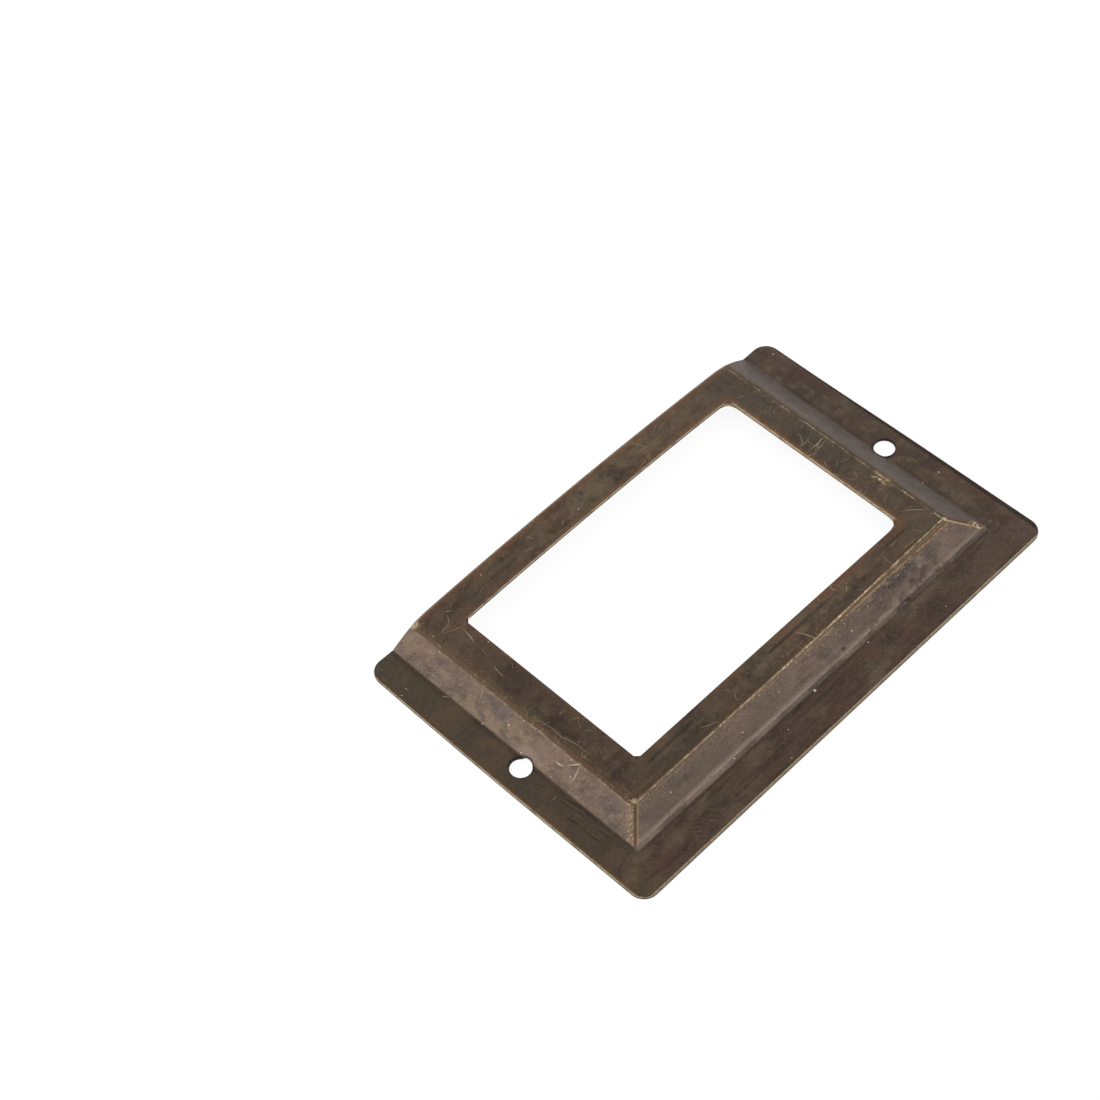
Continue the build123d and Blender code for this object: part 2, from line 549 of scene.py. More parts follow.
def hair_scratches(tree, here, spacing, width, kept, shift):
    """Hair-fine, slightly curved scratches, about so far apart, kept at a share of their places."""
    laid = {"Vector": here, "Location": (shift, -shift, 0), "Scale": (1 / spacing,) * 3}
    laid = add(tree, "Mapping", laid)
    wave = add(tree, "TexNoise", {"Vector": laid, "Scale": 0.9, "Detail": 1.0}).node.outputs["Color"]
    laid = add(tree, "VectorMath", (wave, (0.6, 0.6, 0.0), laid), operation="MULTIPLY_ADD")
    cell = add(tree, "TexVoronoi", {"Vector": laid, "Scale": 1.0}, voronoi_dimensions="2D").node.outputs
    chance = add(tree, "SeparateColor", (cell["Color"],)).node.outputs
    off = add(tree, "VectorMath", (laid, cell["Position"]), operation="SUBTRACT")
    turn = meet(tree, chance["Red"], 2 * pi)
    off = add(tree, "VectorRotate", {"Vector": off, "Angle": turn}, rotation_type="Z_AXIS")
    way = add(tree, "SeparateXYZ", (off,)).node.outputs
    curve = add(tree, "Math", (chance["Green"], 0.5), operation="SUBTRACT")
    bent = (meet(tree, way["X"], way["X"]), curve, way["Y"])
    bent = add(tree, "Math", bent, operation="MULTIPLY_ADD")
    beside = add(tree, "Math", (bent,), operation="ABSOLUTE")
    along = add(tree, "Math", (way["X"],), operation="ABSOLUTE")
    edge = width / spacing
    thin = add(tree, "MapRange", (beside, edge, 0.1 * edge))
    short = add(tree, "MapRange", (along, 0.5, 0.2))
    some = add(tree, "Math", (chance["Blue"], kept), operation="LESS_THAN")
    return meet(tree, thin, short, some)


def distances(tree, here, size):
    """How far a point lies from the bends and edges, seen from above, in millimetres.

    Each row below names a distance and works it out from two others, or from one and a size.
    """
    at = add(tree, "SeparateXYZ", (here,)).node.outputs
    off = {"x": at["X"], "y": at["Y"]}
    for name, operation, first, second in (
        ("side", "ABSOLUTE", "x", 0),
        ("past_end", "SUBTRACT", "side", size.ridge_x),
        ("past_side", "SUBTRACT", size.ridge_y, "y"),
        ("past", "MAXIMUM", "past_end", "past_side"),
        ("inside", "MULTIPLY", "past", -1),
        ("ridge", "ABSOLUTE", "past", 0),
        ("end_foot", "SUBTRACT", "past_end", size.end_slope),
        ("side_foot", "SUBTRACT", "past_side", size.long_slope),
        ("foot", "MAXIMUM", "end_foot", "side_foot"),
        ("off_slope", "MAXIMUM", "inside", "foot"),
        ("slant", "MULTIPLY", "past_side", size.end_slope / size.long_slope),
        ("mitre_side", "SUBTRACT", "past_end", "slant"),
        ("beside", "ABSOLUTE", "mitre_side", 0),
        ("beside", "MULTIPLY", "beside", 0.7),
        ("beside", "MAXIMUM", "beside", "off_slope"),
        ("crease", "MINIMUM", "ridge", "beside"),
        ("corner", "MAXIMUM", "ridge", "beside"),
        ("window_end", "SUBTRACT", "side", size.window_x),
        ("below", "SUBTRACT", size.window_low, "y"),
        ("above", "SUBTRACT", "y", size.window_high),
        ("window_side", "MAXIMUM", "below", "above"),
        ("window", "MAXIMUM", "window_side", "window_end"),
        ("opening", "SUBTRACT", size.open_y, "y"),
        ("left_edge", "ADD", "x", size.length / 2),
        ("right_edge", "SUBTRACT", size.length / 2, "x"),
        ("front_edge", "ADD", "y", size.depth / 2),
        ("far_right", "ADD", "x", "y"),
    ):
        inputs = (off.get(first, first), off.get(second, second))
        off[name] = add(tree, "Math", inputs, operation=operation)
    return off


def swayed(tree, here):
    """The place in millimetres, bent a little, so that straight strokes laid on it come out wavy."""
    sway = add(tree, "TexNoise", {"Vector": here, "Scale": 1 / 3.0, "Detail": 1.0}).node.outputs["Color"]
    bent = add(tree, "VectorMath", (sway, (1.0, 1.0, 0.0), here), operation="MULTIPLY_ADD")
    return add(tree, "VectorMath", (bent, (0.5, 0.5, 0.0)), operation="SUBTRACT")


def slope_mask(tree, off):
    """Where the slopes are. The long one's foot reaches past its bend, and the right one's fades softly."""
    outer, inner, on_top = zones(
        tree,
        off,
        ("x", -25.0, 30.0, 0, 0.45),
        ("x", -25.0, 30.0, -0.12, -0.3),
        ("inside", 0.0, -0.2, 0, 1),
    )
    feet = []
    for name, start, end in (("end_foot", outer, inner), ("side_foot", 0.75, 0.45)):
        feet.append(add(tree, "MapRange", (off[name], start, end), interpolation_type="SMOOTHSTEP"))
    return meet(tree, *feet, on_top)


def flat_oxide(tree, here, off, bent, finish):
    """The flats: dark olive brown, in browner, redder and darker clouds, wiped on all but the left flange."""
    not_left, near_side, beside_window, off_slopes, right_flange, smoky = zones(
        tree,
        off,
        ("x", -35.5, -34.5, 0, 1),
        ("y", -17.0, -20.0, 0, 1),
        ("window_end", 1.0, -0.5, 0, 1),
        ("foot", -0.5, 0.5, 0, 1),
        ("x", 34.5, 35.5, 0, 1),
        ("x", 12.0, 36.0, 0, 0.3),
    )
    wiped = add(tree, "Math", (not_left, near_side), operation="MAXIMUM")
    wiped = add(tree, "MapRange", (wiped, 0.0, 1.0, 0.2))
    stains = (
        (-2.7, -21.0, 1, 19.0, 0.4),
        (-21.3, -20.7, 3, 7.0, 0.3),
        (31.2, -20.5, 0, 5.0, 0.3),
        (-29.7, -0.6, 97, 10.0, 0.3),
    )
    return clouded(
        tree,
        here,
        (finish.brown, (), 7.0, 0.42, 0.56),
        (finish.umber, (off_slopes, not_left), 6.0, 0.3, 0.5, 0.85),
        (finish.red, (wiped,), 4.0, 0.48, 0.62, 0.4),
        (finish.dark, (wiped,), 2.4, 0.5, 0.66, 0.6, (3.33, 1.0)),
        (finish.haze, (wiped,), 3.2, 0.5, 0.68, 0.55, (2.0, 1.0)),
        (finish.dark, (beside_window,), 1.1, 0.5, 0.68, 0.5, (7.14, 1.0)),
        (finish.haze, (wiped,), 0.3, 0.54, 0.8, 0.7, (8.33, 1.0), -45),
        (finish.haze, (wiped,), 0.313, 0.54, 0.8, 0.7, (8.33, 1.0), 40),
        (finish.dark, (wiped,), 0.8, 0.54, 0.8, 0.5),
        (finish.haze, (spot(tree, here, 4.0, 23.0, 56.0, 6.0),), 2.5, 0.42, 0.6, 0.7),
        (finish.haze, (spot(tree, here, 4.0, -13.0, 54.0, 4.5),), 1.5, 0.36, 0.6, 0.65),
        (finish.dark, (spot(tree, here, 36.0, 14.0, 24.0, 8.0, 90),), 2.61, 0.3, 0.6, 0.3),
        (finish.smoke, (spot(tree, here, 34.0, 10.0, 36.0, 20.0, 90),), 3.0, 0.35, 0.6, 0.6),
        (finish.smoke, (smoky,)),
        (finish.dark, (right_flange,), 4.4, 0.42, 0.6, 0.4),
        (finish.red, (right_flange,), 3.4, 0.48, 0.62, 0.3),
        (finish.haze, (right_flange,), 1.9, 0.52, 0.7, 0.5),
        (finish.dark, (spot(tree, here, 20.0, -22.2, 8.0, 3.6),), 2.0, 0.3, 0.55, 0.5),
        (finish.dark, (strokes(tree, bent, 0.0, stains), 0.45)),
        (finish.dark, (spot(tree, here, -28.5, 4.0, 34.0, 7.0, 90),), 2.09, 0.3, 0.6, 0.45),
    )


def slope_oxide_and_foot_sheen(tree, here, off, finish):
    """The slopes, which the punch drew smooth: a thinner, greyer oxide in streaks, and blotchy on the left.

    A painted sheen lies along the long slope's foot, where the real bend is rounder than the mesh's, under
    a painted highlight line.
    """
    left, right, not_right, from_left, to_right, faded = zones(
        tree,
        off,
        ("x", -30.0, -33.0, 0, 1),
        ("x", 31.0, 33.0, 0, 1),
        ("x", 31.0, 33.0, 1, 0.2),
        ("x", -5.0, 18.0, 0, 1),
        ("x", 30.0, 24.0, 0.2, 1),
        ("x", -5.0, 20.0, 0.75, 0.45),
    )
    right_half = meet(tree, from_left, to_right)
    # Painted light at the long slope's foot: a sheen where the real bend is rounder than the mesh's, and a
    # highlight line along the bend's top
    painted_foot_sheen = stripe(tree, off["side_foot"], 0.4, 1.0)
    painted_foot_highlight = stripe(tree, off["side_foot"], -0.1, 0.12, 0.15)
    return clouded(
        tree,
        here,
        (finish.pink, (), 5.0, 0.45, 0.62, 0.8),
        (finish.slope_dark, (spot(tree, here, 18.0, -17.0, 34.0, 8.0),), 3.13, 0.3, 0.6, 0.5),
        (finish.slope_dark, (), 2.51, 0.52, 0.68, 0.7, (1.67, 1.0)),
        (finish.slope_dark, (), 0.5, 0.52, 0.72, 0.5, (10.0, 1.0)),
        (finish.foot_light, (), 0.522, 0.52, 0.72, 0.5, (10.0, 1.0)),
        (finish.tan, (left,), 2.73, 0.38, 0.62, 0.7),
        (finish.mauve, (left, spot(tree, here, -32.6, 7.3, 4.6, 2.4, 90), 0.9)),
        (finish.mauve, (left, spot(tree, here, -33.0, -13.0, 4.4, 2.2, 90), 0.8)),
        (finish.slope_dark, (left,), 1.4, 0.48, 0.66, 0.65, (1.0, 1.67)),
        (finish.foot, (left,), 0.273, 0.53, 0.72, 0.5, (6.67, 1.0), -45),
        (finish.slope_dark, (left,), 0.34, 0.55, 0.75, 0.6, (3.33, 1.0), 50),
        (finish.mauve, (right,), 1.57, 0.1, 0.6, 0.9, (1.0, 3.33)),
        (finish.slope_dark, (right,), 1.9, 0.45, 0.65, 0.7),
        (finish.slope, (right,), 0.246, 0.45, 0.65, 0.9, (10.0, 1.0), 45),
        # Painted sheen, then a painted highlight line, along the long slope's foot
        (finish.foot, (painted_foot_sheen, faded)),
        (finish.bright, (painted_foot_highlight,), 1.82, 0.46, 0.6),
        (finish.foot_light, (not_right,), 0.455, 0.54, 0.75, 0.6),
        (finish.slope_dark, (not_right,), 0.7, 0.56, 0.78, 0.6),
        (finish.blot, (spot(tree, here, 19.4, -16.3, 9.6, 2.0),), 0.9, 0.24, 0.42),
        (finish.blot, (spot(tree, here, 20.9, -17.9, 1.2, 1.0), 0.7)),
        (finish.pit, (spot(tree, here, 6.1, -18.2, 1.1, 0.7), 0.8)),
        (finish.foot_light, (right_half,), 1.8, 0.5, 0.64, 0.7, (1.67, 1.0)),
        (finish.slope_dark, (right_half,), 1.2, 0.48, 0.62, 1.0, (1.67, 1.0)),
        (finish.blot, (right_half,), 0.941, 0.62, 0.72, 0.7, (2.0, 1.0)),
        (finish.foot, (spot(tree, here, -34.3, 0.5, 5.6, 2.0, 90), 0.5)),
    )


def bath_runs_and_foot_shade(tree, here, off, bent, fray, finish):
    """Dark run marks from the bath on the left flange, a painted shadow line just off the long slope's foot,
    and painted shade along the feet of the slopes.
    """
    lines = (
        (-36.2, -10.8, 90, 17.0, 0.24),
        (-36.6, -3.5, -68, 3.2, 0.24),
        (-37.6, -11.0, 93.8, 20.0, 0.22),
        (-35.45, -9.5, 90, 18.0, 0.3),
    )
    runs_and_foot_shadow = meet(tree, strokes(tree, bent, 0.0, lines), patches(tree, here, 2.27, 0.34, 0.6, 0.6))
    (between_feet,) = zones(tree, off, ("end_foot", 0.3, -0.5, 0, 1))
    # A thin line of painted shadow just off the long slope's foot, joined to the bath's marks
    under = meet(tree, stripe(tree, off["side_foot"], 0.95, 0.22, 0.3, fray, 0.2), between_feet)
    runs_and_foot_shadow = add(tree, "Math", (runs_and_foot_shadow, under), operation="MAXIMUM")
    # Painted shade along the feet of the slopes, in the creases
    painted_foot_shade = add(tree, "Math", (off["foot"], 0.35), operation="SUBTRACT")
    painted_foot_shade = add(tree, "Math", (painted_foot_shade,), operation="ABSOLUTE")
    painted_foot_shade = add(tree, "MapRange", (painted_foot_shade, 0.6, 0.1, 0.0, 0.55))
    return clouded(tree, here, (finish.cut, (runs_and_foot_shadow,)), (finish.dark, (painted_foot_shade,), 5.46, 0.34, 0.6))


def bend_wear_and_painted_light(tree, here, off, fray, finish):
    """Where tumbling rubbed the bends: dark bands beside them, partly painted shade, broken lines of brass
    along them, and painted glints at the right mitre's foot.
    """
    left, right, darker, lower, from_left, on_top, on_mitre, core, pale, strong = zones(
        tree,
        off,
        ("x", 1.0, -1.0, 0, 1),
        ("x", -1.0, 1.0, 0, 1),
        ("x", -5.0, 15.0, 0.2, 0.8),
        ("y", 2.0, -8.0, 0.85, 1),
        ("x", -5.0, 14.0, 0.3, 1),
        ("past", 0.3, 0.0, 0, 1),
        ("off_slope", 0.1, -0.15, 0, 1),
        ("x", -1.0, 1.0, -0.15, 0.3),
        ("x", -1.0, 1.0, -0.6, -0.35),
        ("x", -1.0, 1.0, 0.45, 0.9),
    )
    end = add(tree, "Math", (off["mitre_side"], 0.0), operation="GREATER_THAN")
    long_side = add(tree, "Math", (off["mitre_side"], 0.0), operation="LESS_THAN")

    # A band of painted shade just inside the ridges, an olive band with flecks, and flecks under the long
    # ridge
    shoulder = stripe(tree, off["past"], -1.0, 0.8, 0.3, fray, 0.9)
    fuzz = meet(
        tree,
        frayed(tree, off["crease"], fray, 0.9, 1.7, 0.5),
        on_top,
        patches(tree, here, 3.64, 0.32, 0.56, 0.8),
    )
    flecked = add(tree, "MapRange", (end, 0.0, 1.0, 0.2, 0.5))
    spray = stripe(tree, off["past"], 0.9, 0.9, 1.0, fray, 0.6)

    # The left ridge is rubbed unevenly, so its marks wander along it
    wander = add(tree, "TexNoise", {"Vector": here, "Scale": 1 / 2.2, "Detail": 3.0})
    swing = (wander, 0.3, 0.7, -0.1, 0.1)
    wander = meet(tree, add(tree, "MapRange", swing), end, left)
    past = add(tree, "Math", (off["past"], wander))

    # The line of brass along each ridge: how far it lies off the bend, and how much of it is left
    side_line, end_line, on_right, on_side = zones(
        tree,
        off,
        ("x", 5.0, 30.0, 0.22, -0.2),
        ("x", -1.0, 1.0, 0.7, -0.32),
        ("y", -4.0, 0.0, 0.85, 0.4),
        ("x", -20.0, 8.0, 0.5, 0.95),
    )
    place = add(tree, "Mix", {"Factor_Float": end, "A_Float": side_line, "B_Float": end_line})
    share = add(tree, "Mix", {"Factor_Float": left, "A_Float": on_right, "B_Float": 0.15})
    share = add(tree, "Mix", {"Factor_Float": end, "A_Float": on_side, "B_Float": share})
    broken = add(tree, "MapRange", (end, 0.0, 1.0, 0.3, 0.42))
    line = stripe(tree, past, place, 0.13, 1.0, fray, 0.2)
    line = meet(tree, line, share, patches(tree, here, 1.88, broken, 0.55))
    second = stripe(tree, off["past_side"], 0.6, 0.13, 0.5, fray, 0.25)

    # The mitres: flecks and rust beside them, an ochre line, a pale one, and a bare tip at the ridge
    flank = stripe(tree, off["mitre_side"], 0.5, 1.3, 0.75, fray, 0.6)
    rust = stripe(tree, off["mitre_side"], core, 0.38, 0.9, fray, 0.4)
    rubbed = stripe(tree, off["mitre_side"], pale, 0.2, 1.0, fray, 0.25)
    stained = meet(tree, spot(tree, here, 34.3, -18.0, 3.0, 2.2, -45), on_mitre)
    tip = frayed(tree, off["corner"], fray, 0.3, 0.42, 0.28, 0.8)
    return clouded(
        tree,
        here,
        (finish.dark, (shoulder,), 6.27, 0.36, 0.56),
        (finish.moss, (fuzz, 0.25)),
        (finish.hair, (fuzz, flecked), 0.22, 0.5, 0.64),
        (finish.hair, (spray, long_side), 0.23, 0.56, 0.7),
        (finish.ochre, (stripe(tree, off["past_side"], 0.45, 0.24), long_side, darker)),
        (finish.groove, (stripe(tree, past, -0.2, 0.4, 0.6, fray, 0.3), long_side)),
        (finish.groove, (stripe(tree, past, 0.2, 0.5, 1.0, fray, 0.4), end, left, lower)),
        (finish.groove, (stripe(tree, past, 0.1, 0.5, 0.75, fray, 0.3), end, right)),
        (
            finish.spark,
            (spot(tree, here, 30.3, -4.2, 4.2, 2.0, 90), on_top),
            *(0.3, 0.46, 0.62, 1.0, (2.0, 1.0), -60),
        ),
        (finish.worn, (second, long_side, from_left), 1.6, 0.42, 0.58),
        (finish.worn, (line,)),
        (finish.bright, (line,), 0.568, 0.5, 0.62),
        (finish.worn, (flank, on_mitre, left), 0.367, 0.48, 0.6),
        (finish.groove, (spot(tree, here, 33.0, -16.9, 3.0, 1.4, -45), on_mitre, 0.8)),
        (finish.ochre, (rust, on_mitre)),
        (finish.worn, (rubbed, on_mitre, strong)),
        (finish.ochre, (stained, 0.6)),
        # Painted glints in the stained spot at the right mitre's foot
        (finish.bright, (stained,), 0.366, 0.5, 0.6),
        (finish.bright, (tip,)),
        (finish.bright, (spot(tree, here, -31.0, 24.8, 1.6, 1.2),), 0.4, 0.4, 0.55),
    )


def rim_wear_and_painted_light(tree, here, off, fray, size, finish):
    """Where the rims of the sheet are rubbed or stained, with painted highlight and painted shade.

    The window's right rim is the most coppery, and a painted golden highlight lies at its very edge, which
    faces -X. A bare line, partly rubbed brass and partly painted highlight, lies just inside the near edges,
    with an ochre border on the left, and a dark one on the right. Each screw hole has a ring of painted
    shade, set a little off its middle.
    """
    on_top, from_left, inside, along = zones(
        tree,
        off,
        ("past", 0.5, 0.0, 0, 1),
        ("x", -30.0, 15.0, 0.15, 0.6),
        ("window_end", 0.0, -1.0, 0, 1),
        ("window_side", -0.4, -1.2, 0, 1),
    )
    window_rim = frayed(tree, off["window"], fray, 0.9, 1.5, 0.6)
    open_rim = frayed(tree, off["opening"], fray, 0.6, 1.5, 0.8, 0.4)
    shade = stripe(tree, off["below"], 1.4, 0.3, 0.7, fray, 0.3)
    # Painted highlight along the window's right rim, which faces -X: a golden band, and a bright line at its
    # very edge
    glow = stripe(tree, off["x"], size.window_x + 0.25, 0.35, 0.4, fray, 0.3)
    golden = stripe(tree, off["x"], size.window_x + 0.08, 0.14, 0.7, fray, 0.1)
    dashes = patches(tree, here, 0.41, 0.26, 0.5)
    # A ring of painted shade round each screw hole, its middle set a little off the hole's
    hole_shades = []
    for x, y, darkness in ((-size.hole_x, 0.05, 0.7), (size.hole_x - 0.15, -0.1, 0.9)):
        centre = (here, (x, y, size.sheet))
        reach = add(tree, "VectorMath", centre, operation="DISTANCE").node.outputs["Value"]
        hole_shades.append(stripe(tree, reach, size.hole / 2, 0.34, darkness, fray, 0.1))
    return clouded(
        tree,
        here,
        (finish.copper, (window_rim, from_left), 3.41, 0.3, 0.55),
        (finish.copper, (open_rim, on_top), 2.46, 0.25, 0.5),
        (finish.dark, (shade, inside), 3.68, 0.42, 0.6, 1.0, (2.5, 1.0)),
        (finish.worn, (stripe(tree, off["opening"], 0.12, 0.2, 0.6, fray, 0.2), on_top)),
        (finish.worn, (stripe(tree, off["above"], 0.06, 0.16, 0.6, fray, 0.2), inside)),
        (finish.gold, (glow, along), 0.836, 0.34, 0.6),
        (finish.bright, (golden, along)),
        (finish.ochre, (stripe(tree, off["left_edge"], 0.42, 0.25, 0.7, fray, 0.2),)),
        # Partly rubbed brass and partly painted highlight, just inside the near edges
        (finish.worn, (stripe(tree, off["left_edge"], 0.1, 0.2, 0.75, fray, 0.15), dashes)),
        (finish.bright, (stripe(tree, off["front_edge"], 0.2, 0.12, 0.7, fray, 0.1), dashes)),
        (finish.cut, (stripe(tree, off["right_edge"], 0.05, 0.5, 0.75, fray, 0.2),)),
        *((finish.cut, (ring,)) for ring in hole_shades),
    )


def scratch_marks(tree, here, off, bent, on_slope):
    """Pale hair scratches, as a mask: some where it was handled most, and short ones beside the bends."""
    raised, near_bend = zones(tree, off, ("past", 0.5, -0.5, 0.25, 1), ("crease", 1.8, 0.2, 0, 1))
    off_slope = add(tree, "MapRange", (on_slope, 0.0, 1.0, 1.0, 0.4))
    handled = meet(tree, patches(tree, here, 9.0, 0.44, 0.62), off_slope, raised)
    grassy = meet(tree, near_bend, patches(tree, here, 4.18, 0.44, 0.62, 0.8))
    marks = 0.0
    for spacing, width, kept, shift, where in (
        (2.6, 0.07, 0.3, 3.0, handled),
        (1.5, 0.055, 0.25, 8.0, handled),
        (1.3, 0.06, 0.7, 30.0, grassy),
        (0.8, 0.055, 0.6, 50.0, grassy),
    ):
        layer = meet(tree, hair_scratches(tree, here, spacing, width, kept, shift), where)
        marks = add(tree, "Math", (marks, layer), operation="MAXIMUM")
    lines = (
        (-28.0, 20.4, -24, 4.0, 0.05),
        (-28.9, 21.5, 12, 3.0, 0.05),
        (-27.6, 22.0, 40, 2.6, 0.05),
        (-26.5, 22.9, -43, 2.2, 0.05),
        (-32.6, 10.7, 24, 1.9, 0.05),
        (-30.1, -2.4, 95.7, 12.0, 0.06),
        (-35.4, 15.0, -60, 1.4, 0.08),
        (-38.0, 19.5, -78, 1.2, 0.08),
        (-36.5, -6.4, 20, 1.2, 0.07),
        (27.8, 7.9, 45, 2.6, 0.05),
        (28.9, 5.5, 6, 4.8, 0.05),
        (-16.0, -14.4, -20, 4.0, 0.05),
        (20.0, -13.8, 80, 1.6, 0.05),
        (-33.0, 3.2, 60, 1.5, 0.05),
    )
    return strokes(tree, bent, marks, lines)


def deep_scratches(tree, bent):
    """The few scratches that cut through to bare brass, as a mask."""
    lines = (
        (-27.6, 18.3, 80, 3.6, 0.06),
        (-33.1, -3.8, 85, 1.8, 0.08),
        (-32.2, -5.6, -49, 2.6, 0.07),
        (-32.8, -6.6, 9, 2.4, 0.07),
        (28.9, 6.1, -3, 4.0, 0.05),
        (29.1, -11.0, -36, 4.6, 0.05),
        (3.2, -13.9, -68, 3.2, 0.06),
    )
    return strokes(tree, bent, 0.0, lines)


def dust_grains(tree, here):
    """The few larger grains of dust, as a mask. Each row gives a grain's place, and how far across it is."""
    flat = add(tree, "VectorMath", (here, (1, 1, 0)), operation="MULTIPLY")
    grains = 0.0
    for x, y, across in (
        (-1.3, -19.7, 0.46),
        (-16.4, -19.05, 0.28),
        (-13.1, -17.5, 0.2),
        (9.4, -19.8, 0.24),
        (-11.3, -24.4, 0.2),
        (38.7, 22.7, 0.24),
        (38.2, -8.3, 0.22),
        (-33.2, 5.2, 0.22),
    ):
        centre = (flat, (x, y, 0))
        reach = add(tree, "VectorMath", centre, operation="DISTANCE").node.outputs["Value"]
        grain = add(tree, "MapRange", (reach, across / 2, across / 4))
        grains = add(tree, "Math", (grains, grain), operation="MAXIMUM")
    return grains


def loose_marks(tree, here, off, bent, on_slope, front, finish):
    """Scratches, dust and pits, which lie over everything else."""
    dust = add(tree, "TexVoronoi", {"Vector": here, "Scale": 1 / 1.4}).node.outputs
    chance = add(tree, "SeparateColor", (dust["Color"],)).node.outputs["Red"]
    speck = (dust["Distance"], 0.09, 0.04, 0.0, 0.8)
    speck = add(tree, "MapRange", speck)
    common = add(tree, "MapRange", (on_slope, 0.0, 1.0, 0.12, 0.34))
    pale = add(tree, "Math", (chance, common), operation="LESS_THAN")
    pit = add(tree, "Math", (chance, 0.93), operation="GREATER_THAN")
    return clouded(
        tree,
        here,
        (finish.hair, (scratch_marks(tree, here, off, bent, on_slope), front)),
        (finish.bright, (deep_scratches(tree, bent), front)),
        (finish.speck, (speck, pale, front)),
        (finish.dust, (dust_grains(tree, here), front)),
        (finish.pit, (speck, pit)),
    )


def antiqued_brass(size, finish):
    """Sheet brass, antiqued in a bath and tumbled: a cloudy brown oxide, rubbed to brass on its bends.

    It is satin, and reads as dark olive brown, with greyer slopes, pale broken lines on the bends and
    hair scratches from tumbling. Painted shade lies along the slopes' feet, just inside the ridges and round
    the screw holes, and painted highlight along the near edges, the window's right rim and the long slope's
    foot. The renderer has room for few more layers than these in one shader.
    """
    material, tree = new_material("antiqued_brass")
    here, normal = surface(tree)
    off = distances(tree, here, size)
    bent = swayed(tree, here)
    up = add(tree, "SeparateXYZ", (normal,)).node.outputs["Z"]
    front = add(tree, "Math", (up, 0.0), operation="GREATER_THAN")
    fray = add(tree, "TexNoise", {"Vector": here, "Scale": 1 / 0.35, "Detail": 3.0, "Roughness": 0.7})
    grain = add(tree, "TexNoise", {"Vector": here, "Scale": 1 / 0.4, "Detail": 4.0, "Roughness": 0.65})

    on_slope = slope_mask(tree, off)
    color = layered(tree, finish.olive, flat_oxide(tree, here, off, bent, finish))
    slope_color = layered(tree, finish.slope, slope_oxide_and_foot_sheen(tree, here, off, finish))
    color = layered(tree, color, [(slope_color, on_slope)])
    color = layered(tree, color, bath_runs_and_foot_shade(tree, here, off, bent, fray, finish))
    for worn in (bend_wear_and_painted_light(tree, here, off, fray, finish), rim_wear_and_painted_light(tree, here, off, fray, size, finish)):
        color = layered(tree, color, ((above, meet(tree, share, front)) for above, share in worn))
    color = layered(tree, color, loose_marks(tree, here, off, bent, on_slope, front, finish))

    # The oxide is a little thinner, and so lighter, towards the far right corner
    (thinner,) = zones(tree, off, ("far_right", -45.0, 45.0, 0.94, 1.16))
    tone = (grain, 0.25, 0.75, 0.78, 1.22)
    tone = meet(tree, add(tree, "MapRange", tone), thinner)
    color = add(tree, "VectorMath", {"Vector": color, "Scale": tone}, operation="SCALE")

    satin = (grain, 0.3, 0.7, 0.32, 0.44)
    wavy = add(tree, "TexNoise", {"Vector": here, "Scale": 1 / 5.0, "Detail": 2.0})
    bump = add(tree, "Bump", {"Height": wavy, "Strength": 1.0, "Distance": 0.15 * MM})
    bump = add(tree, "Bump", {"Height": grain, "Strength": 1.0, "Distance": 0.005 * MM, "Normal": bump})
    metal(tree, color, add(tree, "MapRange", satin), bump)
    return material


def sheared_edge(size, finish):
    """The cut edge of the sheet: torn rough by the punch and black with oxide and painted contact shadow, so
    it draws a dark line.

    It is bare at the window's corners, and worn along its right rim.
    """
    material, tree = new_material("sheared_edge")
    here = surface(tree)[0]
    at = add(tree, "SeparateXYZ", (here,)).node.outputs
    middle_y = (size.window_low + size.window_high) / 2
    side = add(tree, "Math", (at["X"],), operation="ABSOLUTE")
    up = add(tree, "Math", (at["Y"], middle_y), operation="SUBTRACT")
    up = add(tree, "Math", (up,), operation="ABSOLUTE")
    beside_end = stripe(tree, side, size.window_x, 1.2)
    beside_bar = stripe(tree, up, size.window_high - middle_y, 1.2)
    rows = (
        (finish.haze, (), 0.728, 0.5, 0.75),
        (finish.bright, (beside_end, beside_bar)),
        (finish.worn, (stripe(tree, at["X"], size.window_x, 0.6, 0.8),), 1.25, 0.3, 0.5),
    )
    # The cut colour underneath is oxide darkened by painted contact shadow
    metal(tree, layered(tree, finish.cut, clouded(tree, here, *rows)), 0.5)
    return material


